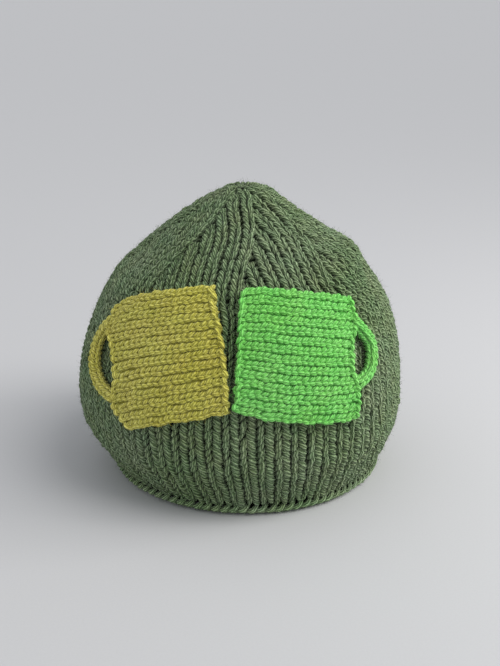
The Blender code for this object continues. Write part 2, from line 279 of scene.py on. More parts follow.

# a short strand that rises between its ends: how deep its ends lie, how far its middle stands over them,
# half its width, the share of that at its ends, and half its thickness
Link = namedtuple("Link", "depth rise half_width end_share half_thick")
LINK_SHIFT, LINK_UNEVEN = 0.0001, 0.08    # how far off its place it lies, and a share of its width


def mesh_object(name, points, quads, uv=None, crest=None):
    """A smooth mesh from arrays of points and four-sided faces, with uv and painted light and shade given per
    point.
    """
    data = bpy.data.meshes.new(name)
    data.vertices.add(len(points))
    data.vertices.foreach_set("co", np.asarray(points, np.float32).ravel())
    data.loops.add(quads.size)
    data.loops.foreach_set("vertex_index", quads.astype(np.int32).ravel())
    data.polygons.add(len(quads))
    data.polygons.foreach_set("loop_start", np.arange(0, quads.size, 4, dtype=np.int32))
    data.polygons.foreach_set("use_smooth", np.ones(len(quads), bool))
    if uv is not None:
        layer = data.uv_layers.new(name="ply")
        layer.data.foreach_set("uv", np.asarray(uv, np.float32)[quads.ravel()].ravel())
    if crest is not None:
        layer = data.attributes.new("crest", "FLOAT", "POINT")
        layer.data.foreach_set("value", np.asarray(crest, np.float32))
    data.update(calc_edges=True)
    made = bpy.data.objects.new(name, data)
    bpy.context.scene.collection.objects.link(made)
    return made


def grid_quads(count, rows, columns):
    """Faces of count separate grids of rows by columns points."""
    i, j = np.meshgrid(np.arange(rows - 1), np.arange(columns - 1), indexing="ij")
    corner = (i * columns + j).ravel()
    one = np.stack([corner, corner + 1, corner + columns + 1, corner + columns], axis=-1)
    return (one[None] + (np.arange(count) * rows * columns)[:, None, None]).reshape(-1, 4)


def unit(vectors):
    return vectors / np.maximum(np.linalg.norm(vectors, axis=-1, keepdims=True), TINY)


def jitter(kinds, count):
    """Normal deviates for count strands, one array for each kind of unevenness."""
    return random.normal(0.0, 1.0, (kinds, count, 1))


class Yarn:
    """Collects strands that make one piece. A strand is a route in a placing function's own terms."""

    def __init__(self):
        self.points, self.uv, self.crest, self.quads, self.size = [], [], [], [], 0
        self.roots = []

    def add(self, place, u, v, lift, wide, thick, slope=PLY_SLOPE, painted_light_gain=1.0):
        """u, v and lift are (strands, steps); wide and thick are half the strand's width and thickness."""
        shape = np.broadcast_shapes(np.shape(u), np.shape(v), np.shape(lift))
        if shape[0] == 0:
            return
        u, v, lift, wide, thick = (np.broadcast_to(x, shape).astype(float) for x in (u, v, lift, wide, thick))
        centre = place(u, v, lift)
        out = unit(place(u, v, lift + NORMAL_STEP) - centre)
        travel = unit(np.gradient(centre, axis=1))
        side = unit(np.cross(travel, out))
        out = np.cross(side, travel)
        ring = (
            centre[:, :, None]
            + (wide[..., None] * np.sin(AROUND))[..., None] * side[:, :, None]
            + (thick[..., None] * np.cos(AROUND))[..., None] * out[:, :, None]
        )
        self.points.append(ring.reshape(-1, 3))
        self.quads.append(grid_quads(shape[0], shape[1], len(AROUND)) + self.size)
        self.size += ring.size // 3

        lengths = np.linalg.norm(np.diff(centre, axis=1), axis=-1)
        arc = np.concatenate([np.zeros((shape[0], 1)), np.cumsum(lengths, axis=1)], axis=1)[..., None]
        mean_width = wide.mean(axis=1)[:, None, None]
        slope = np.broadcast_to(slope, (shape[0], 1))[..., None]
        turns = (mean_width * AROUND + slope * arc) / (PLY_PITCH * np.hypot(1.0, slope))
        turns = turns + random.random((shape[0], 1, 1))
        length = np.broadcast_to(arc, turns.shape) / MM + UV_SPREAD * random.random((shape[0], 1, 1))
        self.uv.append(np.stack([turns, length], axis=-1).reshape(-1, 2))

        # painted shade and highlight: strands darker towards their ends and sides, where their neighbours
        # would shade them, and brightest along their tops
        arch = np.sin(math.pi * np.linspace(0.0, 1.0, shape[1]))[None, :, None]
        crest = PAINTED_SHADE_END + (1 - PAINTED_SHADE_END) * arch**PAINTED_SHADE_EASE
        crest = crest * (PAINTED_SHADE_EDGE + (1 - PAINTED_SHADE_EDGE) * np.clip(np.cos(AROUND), 0.0, 1.0))
        # painted light: the gain brightens chosen strands' painted shading further
        self.crest.append(np.broadcast_to(painted_light_gain * crest, turns.shape).ravel())

        inner = ring[:, 1:-1, 2:-2]
        away = inner - centre[:, 1:-1, None]
        along_it = np.broadcast_to(travel[:, 1:-1, None], inner.shape)
        self.roots.append(np.stack([x.reshape(-1, 3) for x in (inner, away, along_it)], axis=1))

    def add_links(self, place, u, v, link, lift=0.0, uneven=0.0, slope=PLY_SLOPE, painted_light_gain=1.0):
        """Adds a strand of a link's form on each route. lift moves it, and uneven is a share of its width."""
        wide = link.half_width * (link.end_share + (1 - link.end_share) * ARCH) * (1 + uneven)
        self.add(place, u, v, link.rise * ARCH - link.depth + lift, wide, link.half_thick, slope, painted_light_gain)

    def add_hairs(self, count):
        """Loose fibres that stand out of the yarn over the floor, each a tapering ribbon of three faces."""
        roots = np.concatenate(self.roots)
        start, away, travel = roots[random.integers(0, len(roots), count)].transpose(1, 0, 2)
        away = unit(away)
        side = np.cross(away, travel)
        mix = random.normal(0.0, 1.0, (3, count, 1))
        heading = (HAIR_OUT + HAIR_OUT_SPREAD * np.abs(mix[0])) * away
        heading = unit(heading + HAIR_ALONG * mix[1] * travel + HAIR_ACROSS * mix[2] * side)
        bend = np.cross(heading, random.normal(0.0, 1.0, (count, 3))) - HAIR_DROOP * away
        width = unit(np.cross(heading, random.normal(0.0, 1.0, (count, 3))))
        length = HAIR_LENGTH * (0.5 + random.random((count, 1, 1)))
        s = np.linspace(0.0, 1.0, 4)[None, :, None]
        middle = start[:, None] + length * (heading[:, None] * s + HAIR_BEND * bend[:, None] * s**2)
        half = HAIR_WIDTH / 2 * (1.0 - HAIR_TAPER * s) * width[:, None]
        ribbon = np.stack([middle - half, middle + half], axis=2)
        ribbon = ribbon[ribbon[..., 2].min(axis=(1, 2)) > 0.0]
        count = len(ribbon)
        corners = ribbon[0].size // 3
        self.points.append(ribbon.reshape(-1, 3))
        self.uv.append(np.repeat(random.random((count, 2)) * (HAIR_TURN, UV_SPREAD), corners, axis=0))
        self.crest.append(np.full(count * corners, HAIR_PAINTED_SHADING))
        self.quads.append(grid_quads(count, s.size, 2) + self.size)
        self.size += count * corners

    def piece(self, name, look):
        made = mesh_object(name, *(np.concatenate(x) for x in (self.points, self.quads, self.uv, self.crest)))
        made.data.materials.append(look)
        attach(made, "root")
        return made


def thin_cloth(name, layers, looks):
    """A closed sheet between two grids of points. looks are its outside's and, if given, its inside's."""
    rows, columns = layers[0].shape[:2]
    count = rows * columns
    outer = grid_quads(1, rows, columns)
    rim = np.concatenate([
        np.arange(columns),
        np.arange(1, rows) * columns + columns - 1,
        (rows - 1) * columns + np.arange(columns - 2, -1, -1),
        np.arange(rows - 2, 0, -1) * columns,
    ])
    after = np.roll(rim, -1)
    wall = np.stack([after, rim, rim + count, after + count], axis=-1)
    points = np.concatenate([layer.reshape(-1, 3) for layer in layers])
    made = mesh_object(name, points, np.concatenate([outer, outer[:, ::-1] + count, wall]))
    for look in looks:
        made.data.materials.append(look)
    inner = np.arange(len(made.data.polygons)) // len(outer) == 1
    made.data.polygons.foreach_set("material_index", inner.astype(np.int32) * (len(looks) - 1))
    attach(made, "root")
    return made


# ---- materials -------------------------------------------------------------------------------------------

Noise = namedtuple("Noise", "scale detail")
PLY_SWAY = Noise(480.0, 1.0)
FIBRES = Noise(2.2, 3.0)
FIBRE_STRETCH = (2.6, 0.45, 1.0)
HEATHER = Noise(210.0, 2.0)
PATCHES = Noise(26.0, 2.0)
DYE = Noise(95.0, 1.0)
PLY_SWAY_TURNS = 1.1      # how many plies' width the plies sway by
HEATHER_SHARE, PATCHES_SHARE = 0.22, 0.16
DARK_TONE, MIDDLE_TONE, LIGHT_TONE = 0.04, 0.36, 0.70
PATCH_SATURATION = 7.0    # in hue drifts
# painted highlight: the brightness of a strand's top, over its yarn's own colour
PAINTED_HIGHLIGHT = 1.2
FIBRE_HEIGHT = 0.35       # in plies' heights


def new_material(name):
    made = bpy.data.materials.new(name)
    made.use_nodes = True
    return made, made.node_tree.nodes, made.node_tree.links, made.node_tree.nodes["Principled BSDF"]


def math_node(nodes, links, operation, *values):
    node = nodes.new("ShaderNodeMath")
    node.operation = operation
    for socket, value in zip(node.inputs, values):
        if isinstance(value, (int, float)):
            socket.default_value = value
        else:
            links.new(value, socket)
    return node.outputs[0]


def noise_node(nodes, links, vector, noise):
    node = nodes.new("ShaderNodeTexNoise")
    node.inputs["Scale"].default_value = noise.scale
    node.inputs["Detail"].default_value = noise.detail
    links.new(vector, node.inputs["Vector"])
    return node.outputs["Fac"]


def ramp_node(nodes, links, factor, *stops):
    node = nodes.new("ShaderNodeValToRGB")
    ramp = node.color_ramp
    while len(ramp.elements) < len(stops):
        ramp.elements.new(0.5)
    for element, (position, color) in zip(ramp.elements, stops):
        element.position, element.color = position, (*color, 1.0)
    links.new(factor, node.inputs["Fac"])
    return node.outputs["Color"]


def bump_node(nodes, links, shader, height, strength, distance):
    bump = nodes.new("ShaderNodeBump")
    bump.inputs["Strength"].default_value = strength
    bump.inputs["Distance"].default_value = distance
    links.new(height, bump.inputs["Height"])
    links.new(bump.outputs["Normal"], shader.inputs["Normal"])


def yarn_material(name, dark, middle, light, marl, hue_drift, ply_painted_shading, ply_height, painted_shade_level):
    """Plied wool: plies from the first UV coordinate, fibres lying along them, and heathered colour.

    marl is how much the fibres change its tone, and the plies' share how much the plies do: painted highlight
    on their crowns and painted shade in their grooves. The sunk share is painted shade: how much of its
    brightness the yarn keeps where it dips between its neighbours.
    """
    made, nodes, links, shader = new_material(name)
    uv = nodes.new("ShaderNodeUVMap")
    uv.uv_map = "ply"
    parts = nodes.new("ShaderNodeSeparateXYZ")
    links.new(uv.outputs["UV"], parts.inputs["Vector"])
    where = nodes.new("ShaderNodeTexCoord").outputs["Object"]
    sway = noise_node(nodes, links, where, PLY_SWAY)
    swayed = math_node(nodes, links, "MULTIPLY_ADD", sway, PLY_SWAY_TURNS, parts.outputs["X"])
    turn = math_node(nodes, links, "MULTIPLY", swayed, 2 * math.pi)
    ply = math_node(nodes, links, "MULTIPLY_ADD", math_node(nodes, links, "COSINE", turn), 0.5, 0.5)

    stretch = nodes.new("ShaderNodeMapping")
    stretch.inputs["Scale"].default_value = FIBRE_STRETCH
    links.new(uv.outputs["UV"], stretch.inputs["Vector"])
    fibres = noise_node(nodes, links, stretch.outputs["Vector"], FIBRES)
    heather = noise_node(nodes, links, where, HEATHER)
    patches = noise_node(nodes, links, where, PATCHES)

    # painted highlight and shade: the plies' crowns lighter and the grooves between them darker
    tone = math_node(nodes, links, "MULTIPLY", ply, ply_painted_shading)
    tone = math_node(nodes, links, "MULTIPLY_ADD", fibres, marl, tone)
    tone = math_node(nodes, links, "MULTIPLY_ADD", heather, HEATHER_SHARE, tone)
    tone = math_node(nodes, links, "MULTIPLY_ADD", patches, PATCHES_SHARE, tone)
    mean_tone = 0.5 * (ply_painted_shading + marl + HEATHER_SHARE + PATCHES_SHARE)
    tone = math_node(nodes, links, "SUBTRACT", tone, mean_tone - MIDDLE_TONE)
    color = ramp_node(nodes, links, tone, (DARK_TONE, dark), (MIDDLE_TONE, middle), (LIGHT_TONE, light))

    tint = nodes.new("ShaderNodeHueSaturation")
    links.new(color, tint.inputs["Color"])
    dye = noise_node(nodes, links, where, DYE)
    hue = math_node(nodes, links, "MULTIPLY_ADD", dye, hue_drift, 0.5 - hue_drift / 2)
    links.new(hue, tint.inputs["Hue"])
    fading = PATCH_SATURATION * hue_drift
    saturation = math_node(nodes, links, "MULTIPLY_ADD", patches, -fading, 1 + fading / 2)
    links.new(saturation, tint.inputs["Saturation"])
    # painted light and shade: the colour's value follows the shading stored on the points
    crest = nodes.new("ShaderNodeAttribute")
    crest.attribute_name = "crest"
    painted_brightness = math_node(nodes, links, "MULTIPLY_ADD", crest.outputs["Fac"], PAINTED_HIGHLIGHT - painted_shade_level, painted_shade_level)
    links.new(painted_brightness, tint.inputs["Value"])
    links.new(tint.outputs["Color"], shader.inputs["Base Color"])

    height = math_node(nodes, links, "MULTIPLY_ADD", fibres, FIBRE_HEIGHT, ply)
    bump_node(nodes, links, shader, height, 1.0, ply_height)
    shader.inputs["Roughness"].default_value = 0.88
    shader.inputs["Specular IOR Level"].default_value = 0.25
    shader.inputs["Sheen Weight"].default_value = 0.12
    shader.inputs["Sheen Roughness"].default_value = 0.55
    return made


GROUND_GRAIN = Noise(420.0, 3.0)
GROUND_GRAIN_HEIGHT = 0.0006


def ground_material(name, dark, light):
    """The plain back of the knitting, or its ground under the stitches, which is given darker than its yarn
    as painted shade.
    """
    made, nodes, links, shader = new_material(name)
    fine = noise_node(nodes, links, nodes.new("ShaderNodeTexCoord").outputs["Object"], GROUND_GRAIN)
    links.new(ramp_node(nodes, links, fine, (0.3, dark), (0.7, light)), shader.inputs["Base Color"])
    bump_node(nodes, links, shader, fine, 0.8, GROUND_GRAIN_HEIGHT)
    shader.inputs["Roughness"].default_value = 0.95
    shader.inputs["Specular IOR Level"].default_value = 0.15
    return made


SAGE = yarn_material(
    "sage_marl", dark=(0.018, 0.035, 0.011), middle=(0.138, 0.212, 0.088), light=(0.355, 0.460, 0.250),
    marl=0.62, hue_drift=0.07, ply_painted_shading=0.42, ply_height=0.00050, painted_shade_level=0.25,
)
# painted shade: the ground under the ribs is near black, standing in for the shade in the channels between
# them
SAGE_PAINTED_SHADE_GROUND = ground_material("sage_painted_shade_ground", dark=(0.006, 0.010, 0.004), light=(0.018, 0.028, 0.012))
SAGE_BACK = ground_material("sage_back", dark=(0.070, 0.105, 0.048), light=(0.150, 0.210, 0.105))
PLAIN_WOOL = dict(marl=0.42, hue_drift=0.02, ply_painted_shading=0.30, ply_height=0.00042, painted_shade_level=0.53)
OLIVE = yarn_material(
    "olive_wool", dark=(0.220, 0.203, 0.019), middle=(0.530, 0.495, 0.076), light=(0.830, 0.785, 0.225),
    **PLAIN_WOOL,
)
# partly painted shade: the olive yarn's own colour, darkened for the shade between the mug's stitches
OLIVE_SHADED_GROUND = ground_material("olive_shaded_ground", dark=(0.200, 0.185, 0.022), light=(0.360, 0.335, 0.060))
GREEN = yarn_material(
    "green_wool", dark=(0.070, 0.315, 0.042), middle=(0.178, 0.600, 0.104), light=(0.360, 0.830, 0.245),
    **PLAIN_WOOL,
)
# partly painted shade: the green yarn's own colour, darkened for the shade between the mug's stitches
GREEN_SHADED_GROUND = ground_material("green_shaded_ground", dark=(0.065, 0.300, 0.038), light=(0.120, 0.480, 0.080))

# ---- the ribbed body -------------------------------------------------------------------------------------

ROW = 0.00335
FIRST_ROW = 0.0080
GATHER_END = 0.0022       # rows stop this far from the end of the cloth
CLOTH_END = 0.0008        # and strands this far from it
FULL_PITCH = 0.0080       # depths and thicknesses are given for a rib of this width

# shares of a rib's width: where a leg's top and foot lie, and half its width; half_thick is in metres
Leg = namedtuple("Leg", "top foot half_width half_thick")
WALL_LEGS = (Leg(-0.09, -0.38, 0.165, 0.00165), Leg(-0.01, 0.32, 0.220, 0.00195))
CROWN_LEGS = (Leg(-0.37, -0.10, 0.215, 0.00175), Leg(0.35, 0.13, 0.195, 0.00170))
CROWN_LEGS_FROM, CROWN_LEGS_AT = 0.117, 0.125    # the wall's legs turn into the crown's between these
# in rows, from a leg's top to its foot
WALL_REACH, CROWN_REACH = np.array((0.56, -0.86)), np.array((0.56, -0.84))
CROWN_SLOPE = 0.45
LEG_END_SHARE = 0.46
TOP_DIP, FOOT_DIP, DIP_EASE = 0.0034, 0.0030, 1.2
KEPT_ROOM = -0.28         # share of its width that a rib needs beside its wedge's left edge
EDGE_REACH, SEAM_REACH = -0.1, 0.1    # in ribs: how far legs stay from a wedge's left edge, plain or a seam
LOWERING = 1.6            # a rib sinks where its room is less than its width divided by this
SEAM_WEDGES = (FIRST_WEDGE, FIRST_WEDGE + WEDGES // 2)    # their left edges are the side seams
MUG_MARGIN = 0.0045       # stitches this far inside a mug's outline are left out
HIDING_POINTS = 12        # on each edge of that outline

# how unevenly the ribs are knitted: in rows, metres, ribs, ribs and metres, then as shares of a leg's width,
# its thickness and its spread; bare factors inside a sine only make one column or row differ from the next
Uneven = namedtuple("Uneven", "column_drift row wander across lift width thickness swell")
RIB_UNEVEN = Uneven(0.28, 0.00032, 0.022, 0.026, 0.00026, 0.12, 0.05, 0.10)
WANDER_LENGTH, SHORT_WANDER_LENGTH = 0.011, 0.0047
DRIFT_LENGTH = 0.020

PURL_STEPS = np.linspace(-1.0, 1.0, 4)[None]
PURL_FIRST = -0.8         # in rows, from the first row of knit stitches
PURL_JITTER = 0.0003
PURL_REACH, PURL_SLANT = 0.26, 0.0006
PURL_DEPTH, PURL_SAG = 0.0037, 0.0005
PURL_HALF_WIDTH, PURL_HALF_THICK = 0.0012, 0.0008
PURL_END = 3 * GATHER_END
PURL_ROOM, PURL_SEAM_ROOM = 0.1, -0.4    # in ribs past a wedge's left edge, plain or a seam

SELVEDGE_LINK = Link(0.0028, 0.0016, 0.00125, 0.55, 0.0013)
SELVEDGE_INSET, SELVEDGE_SLANT = 0.10, 0.02    # in ribs
SELVEDGE_START, SELVEDGE_REACH = -0.25, 1.5    # in rows

SEAM_LINK = Link(0.0030, 0.0014, 0.00105, 0.60, 0.0010)
SEAM_FIRST, SEAM_PITCH = 0.0070, 0.0029
SEAM_STITCH, SEAM_SLANT = 0.0034, 0.0012

HEM_LINKS = 12            # in a wedge
# painted light: the hem's strands are brightened over their painted shading, though they are the same yarn
HEM_PAINTED_LIGHT = 1.65
HEM_LINK = Link(0.0026, 0.0034, 0.00150, 0.50, 0.0014)
HEM_LINK_START, HEM_LINK_REACH, HEM_LINK_SLOPE = -0.15, 1.35, 0.15    # in links, and its plies' slope
HEM_LINK_FOOT, HEM_LINK_RISE = 0.0029, 0.0034
HEM_LINK_SHIFT_ROUND, HEM_LINK_SHIFT_UP = 0.02, 0.0002    # in ribs, and metres
HEM_CORD = Link(0.0020, 0.0009, 0.00125, 0.80, 0.0012)
HEM_CORD_START, HEM_CORD_REACH, HEM_CORD_SLOPE = -0.40, 1.7, 0.3
HEM_CORD_ALONG = 0.0019

KNOT_LINK = Link(0.0017, 0.0007, 0.00085, 1.0, 0.0008)
KNOT_STRANDS = 5
KNOT_REACH = 0.0034


def inside(outline, x, y):
    """Whether points lie in a closed outline."""
    found = np.zeros(np.shape(x), bool)
    for (x0, y0), (x1, y1) in zip(outline, np.roll(outline, -1, axis=0)):
        crosses = (y0 > y) != (y1 > y)
        if y0 != y1:
            found ^= crosses & (x < (x1 - x0) * (y - y0) / (y1 - y0) + x0)
    return found


def on_belly(points):
    """(degrees, along) points as (distance across at the belly, along)."""
    return [(math.radians(angle) * BELLY_RADIUS, along) for angle, along in points]


def mug_edges(name, count):
    """A mug's four edges as count (distance across at the belly, along) points each."""
    return {side: smooth_curve(on_belly(points), count) for side, points in MUGS[name].items()}


def under_mugs(angle, along):
    """Whether places are hidden behind a mug, well inside its outline."""
    across = ((angle + math.pi) % (2 * math.pi) - math.pi) * BELLY_RADIUS
    hidden = np.zeros(np.shape(angle), bool)
    for name in MUGS:
        edges = mug_edges(name, HIDING_POINTS)
        outline = np.concatenate([edges["bottom"], edges["right"], edges["top"][::-1], edges["left"][::-1]])
        middle = outline.mean(axis=0)
        size = np.abs(outline - middle).max(axis=0)
        outline = middle + (outline - middle) * (1 - MUG_MARGIN / size)
        hidden |= inside(outline, across, along)
    return hidden


def wander(column, along, amount):
    """A slow drift of a rib from side to side, different for each column."""
    phase = 2.4 * column
    long_wave = np.sin(along / WANDER_LENGTH + phase)
    return amount * (long_wave + 0.6 * np.sin(along / SHORT_WANDER_LENGTH + 1.7 * phase))


def wedge_stitches(wedge, rows):
    """A wedge's ribs and rows as two matching lists."""
    first = wedge * RIBS_PER_WEDGE
    ribs = np.arange(first, first + RIBS_PER_WEDGE)
    return (x.ravel() for x in np.meshgrid(ribs, rows, indexing="ij"))


def rib_stitches(yarn, place, wedge):
    """The knit stitches of one wedge's ribs, from the hem to the gathered top, two legs each."""
    uneven = RIB_UNEVEN
    column, along = wedge_stitches(wedge, np.arange(FIRST_ROW, TOP_ALONG - GATHER_END, ROW))
    drift = np.sin(1.9 * column) + 0.5 * np.sin(0.7 * column + along / DRIFT_LENGTH)
    along = along + uneven.column_drift * ROW * drift + random.normal(0.0, uneven.row, along.shape)
    along = np.minimum(along, TOP_ALONG - GATHER_END)
    radius, pitch = radius_at(along), rib_pitch(along)
    right_edge = (wedge + 1) * RIBS_PER_WEDGE
    room = radius * WEDGE_ANGLE - (right_edge - column - 0.5) * pitch
    kept = (room > KEPT_ROOM * pitch) & ~under_mugs(rib_angle(wedge, column + 0.5, along), along)
    column, along, radius, pitch, room = (x[kept] for x in (column, along, radius, pitch, room))
    fade = np.minimum(1.0, radius / GATHER_RADIUS)
    ridge = RIDGE_RISE * np.clip(pitch / (radius * RIB_ANGLE) - 1.0, 0.0, 1.0) * fade
    ridge = ridge * (column == right_edge - 1)
    lowered = RIB_DEPTH * fade * (1.0 - np.clip(LOWERING * room / pitch, 0.0, 1.0))
    centre = column + 0.5 + wander(column, along, uneven.wander)
    size = (pitch / FULL_PITCH)[:, None]
    swell = (1.0 + uneven.swell * np.sin(3.1 * column))[:, None]
    left_limit = (right_edge - radius * WEDGE_ANGLE / pitch)[:, None]
    left_limit = left_limit + (SEAM_REACH if wedge in SEAM_WEDGES else EDGE_REACH)

    crown = np.clip((along - CROWN_LEGS_FROM) / (CROWN_LEGS_AT - CROWN_LEGS_FROM), 0.0, 1.0)[:, None]
    reach = (1 - crown) * WALL_REACH + crown * CROWN_REACH
    slope = (1 - crown) * PLY_SLOPE + crown * CROWN_SLOPE
    eased = (1 - crown) * np.sin(STEPS * math.pi / 2) + crown * STEPS
    for wall_leg, crown_leg in zip(WALL_LEGS, CROWN_LEGS):
        leg = Leg(*((1 - crown) * w + crown * c for w, c in zip(wall_leg, crown_leg)))
        shake = jitter(4, len(column))
        across = leg.top + (leg.foot - leg.top) * eased
        u = np.maximum(centre[:, None] + across * swell + uneven.across * shake[0], left_limit)
        v = along[:, None] + (reach[:, :1] + (reach[:, 1:] - reach[:, :1]) * STEPS) * ROW
        v = np.minimum(v, TOP_ALONG - CLOTH_END)
        half_thick = leg.half_thick * size**0.5
        dip = np.where(STEPS < 0.5, TOP_DIP, FOOT_DIP) * (1 - ARCH) ** DIP_EASE
        lift = (ridge - lowered)[:, None] - half_thick - dip * size + uneven.lift * shake[1]
        wide = leg.half_width * pitch[:, None] * (LEG_END_SHARE + (1 - LEG_END_SHARE) * ARCH)
        wide = wide * (1 + uneven.width * shake[2])
        yarn.add(place, u, v, lift, wide, half_thick * (1 + uneven.thickness * shake[3]), slope)


def purl_bars(yarn, place, wedge):
    """The purl stitches, seen as short bars across the channels between the ribs."""
    edge, along = wedge_stitches(wedge, np.arange(FIRST_ROW + PURL_FIRST * ROW, TOP_ALONG - PURL_END, ROW))
    along = along + random.normal(0.0, PURL_JITTER, along.shape)
    radius, pitch = radius_at(along), rib_pitch(along)
    right_edge = (wedge + 1) * RIBS_PER_WEDGE
    room = PURL_SEAM_ROOM if wedge in SEAM_WEDGES else PURL_ROOM
    kept = (right_edge - edge) * pitch < radius * WEDGE_ANGLE + room * pitch
    kept &= ~under_mugs(rib_angle(wedge, edge, along), along)
    edge, along, size = (x[kept][:, None] for x in (edge, along, pitch / FULL_PITCH))
    yarn.add(
        place, edge + PURL_REACH * PURL_STEPS, along + PURL_SLANT * PURL_STEPS,
        -PURL_DEPTH * size - PURL_SAG * size * PURL_STEPS**2, PURL_HALF_WIDTH * size, PURL_HALF_THICK * size,
    )


def selvedge(yarn, place, rib):
    """The chain of edge stitches up one side of the openings."""
    along = np.arange(FIRST_ROW, CROWN_START - ROW, ROW)[:, None]
    shake = jitter(2, len(along))
    yarn.add_links(
        place, rib + SELVEDGE_SLANT * (STEPS - 0.5), along + (SELVEDGE_REACH * STEPS + SELVEDGE_START) * ROW,
        SELVEDGE_LINK, lift=LINK_SHIFT * shake[0], uneven=LINK_UNEVEN * shake[1],
    )


def seam_stitches(yarn, place, wedge):
    """Short stitches over the side seam at a wedge's left edge, above and below its opening."""
    along = np.arange(SEAM_FIRST, TOP_ALONG - 2 * GATHER_END, SEAM_PITCH)
    height = profile(along, HEIGHT)
    opening = next(o for o in OPENINGS if o.side == np.sign(wedge))
    along = along[(height < opening.bottom) | (height > opening.top)]
    pitch = rib_pitch(along)
    seam = (wedge + 1) * RIBS_PER_WEDGE - radius_at(along) * WEDGE_ANGLE / pitch
    across = (SEAM_STITCH / pitch)[:, None] * (STEPS - 0.5)
    yarn.add_links(place, seam[:, None] + across, along[:, None] + SEAM_SLANT * STEPS, SEAM_LINK)


def hem_chain(yarn, place, wedge):
    """The edge of the knitting, a chain of slanting links over a cord."""
    link = RIBS_PER_WEDGE / HEM_LINKS
    start = (wedge * RIBS_PER_WEDGE + link * np.arange(HEM_LINKS))[:, None]
    shake = jitter(3, len(start))
    yarn.add_links(
        place, start + link * (HEM_LINK_REACH * STEPS + HEM_LINK_START) + HEM_LINK_SHIFT_ROUND * shake[0],
        HEM_LINK_FOOT + HEM_LINK_RISE * STEPS + HEM_LINK_SHIFT_UP * shake[1],
        HEM_LINK, uneven=LINK_UNEVEN * shake[2], slope=HEM_LINK_SLOPE, painted_light_gain=HEM_PAINTED_LIGHT,
    )
    yarn.add_links(
        place, start + link * (HEM_CORD_REACH * STEPS + HEM_CORD_START),
        HEM_CORD_ALONG + LINK_SHIFT * shake[1],
        HEM_CORD, slope=HEM_CORD_SLOPE, painted_light_gain=HEM_PAINTED_LIGHT,
    )


def gather_knot(yarn):
    """The end of the yarn, darned across the small hole that it draws up at the top."""
    top = [profile(TOP_ALONG, k) for k in (CENTRE_X, CENTRE_Y, HEIGHT)]

    def place(x, y, lift):
        return np.stack(np.broadcast_arrays(top[0] + x, top[1] + y, top[2] + lift), axis=-1)

    turn = math.pi * np.arange(KNOT_STRANDS)[:, None] / KNOT_STRANDS
    reach = KNOT_REACH * (2 * STEPS - 1)
    over_and_under = LINK_SHIFT * np.cos(KNOT_STRANDS * turn)
    yarn.add_links(place, reach * np.cos(turn), reach * np.sin(turn), KNOT_LINK, lift=over_and_under)


# ---- cloth under the stitches ----------------------------------------------------------------------------

GROUND_LIFT = -0.0034
GATHER_LIFT_SHARE = 0.4   # of that lift, at the gather
GROUND_WAVE = 0.0009
GROUND_THICK = 0.0010
GROUND_COLUMNS_PER_RIB = 4
GROUND_ROWS = 120
GROUND_BOTTOM, GROUND_TOP = 0.0012, TOP_ALONG - 0.0004
SEAM_SIDE = 1 - 1e-6      # keeps a panel's edge on its own side of the seam


def ground(name, middle, node):
    """The thin cloth of one panel, from seam to seam round its middle angle, which the stitches lie on."""
    columns = RIBS_AROUND // 2 * GROUND_COLUMNS_PER_RIB
    turn = (np.linspace(0.0, 1.0, columns + 1) - 0.5) * math.pi + middle
    turn, along = np.meshgrid(turn, np.linspace(GROUND_BOTTOM, GROUND_TOP, GROUND_ROWS + 1))
    fade = np.minimum(1.0, radius_at(along) / GATHER_RADIUS)
    lift = GROUND_LIFT * (GATHER_LIFT_SHARE + (1 - GATHER_LIFT_SHARE) * fade)
    lift = lift + GROUND_WAVE * fade * np.cos(turn * RIBS_AROUND + math.pi)
    angle = bow_round_openings(middle + (turn - middle) * SEAM_SIDE, along)
    made = thin_cloth(
        name, [surface(angle, along, lift - depth) for depth in (0.0, GROUND_THICK)], (SAGE_PAINTED_SHADE_GROUND, SAGE_BACK)
    )
    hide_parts(node)
    return made


# ---- the mugs --------------------------------------------------------------------------------------------

MUG_STITCHES = 19
MUG_PLY_SLOPE = 0.70
MUG_SIZE = 0.062          # length of a mug's left and right edges
MUG_RELIEF = 0.0006       # its stitches stand this far out of its cloth
MUG_TOP_LIFT = MUG_CLEARANCE + MUG_CLOTH + MUG_RELIEF
MUG_EDGE_POINTS = 61
MUG_FIRST, MUG_STAGGER = 0.35, 0.30    # in stitches: the columns' start, and every other one's shift
MUG_STRETCH = 1.045       # the outer columns' stitches reach the mug's edges
MUG_WAVE = 0.04           # in columns' widths
MUG_INSET = 0.006         # share of the mug's width that its stitches stay inside its edges
# a leg's side of its column; its start and length, in stitches; and its distance from the column's middle at
# its start and end, in columns' widths
MugLeg = namedtuple("MugLeg", "side start reach near far")
MUG_LEGS = (MugLeg(1, -0.64, 1.25, 0.04, 0.40), MugLeg(-1, -0.70, 1.35, 0.06, 0.37))
MUG_LEG_HALF_WIDTH, MUG_LEG_HALF_THICK = 0.00130, 0.0013
MUG_LEG_END_SHARE = 0.50
MUG_LEG_DEPTH, MUG_LEG_DIP, MUG_LEG_DIP_EASE = 0.0012, 0.0021, 1.1
MUG_LEG_SHIFT, MUG_LEG_SWAY = 0.05, 0.035    # in stitches along a column, and in its widths across
KNOB = 0.0034             # one bump of the mugs' left and right edges
KNOB_LINK = Link(0.0018, 0.0018, 0.00120, 0.50, 0.0012)
KNOB_START, KNOB_SLANT, KNOB_REACH = 0.004, 0.020, 0.9
KNOB_ROWS = 0.98          # share of an edge that has knobs
# in mugs' widths, knobs' lengths and their widths
KNOB_SHIFT_IN, KNOB_SHIFT_UP, KNOB_UNEVEN = 0.007, 0.1, 0.14
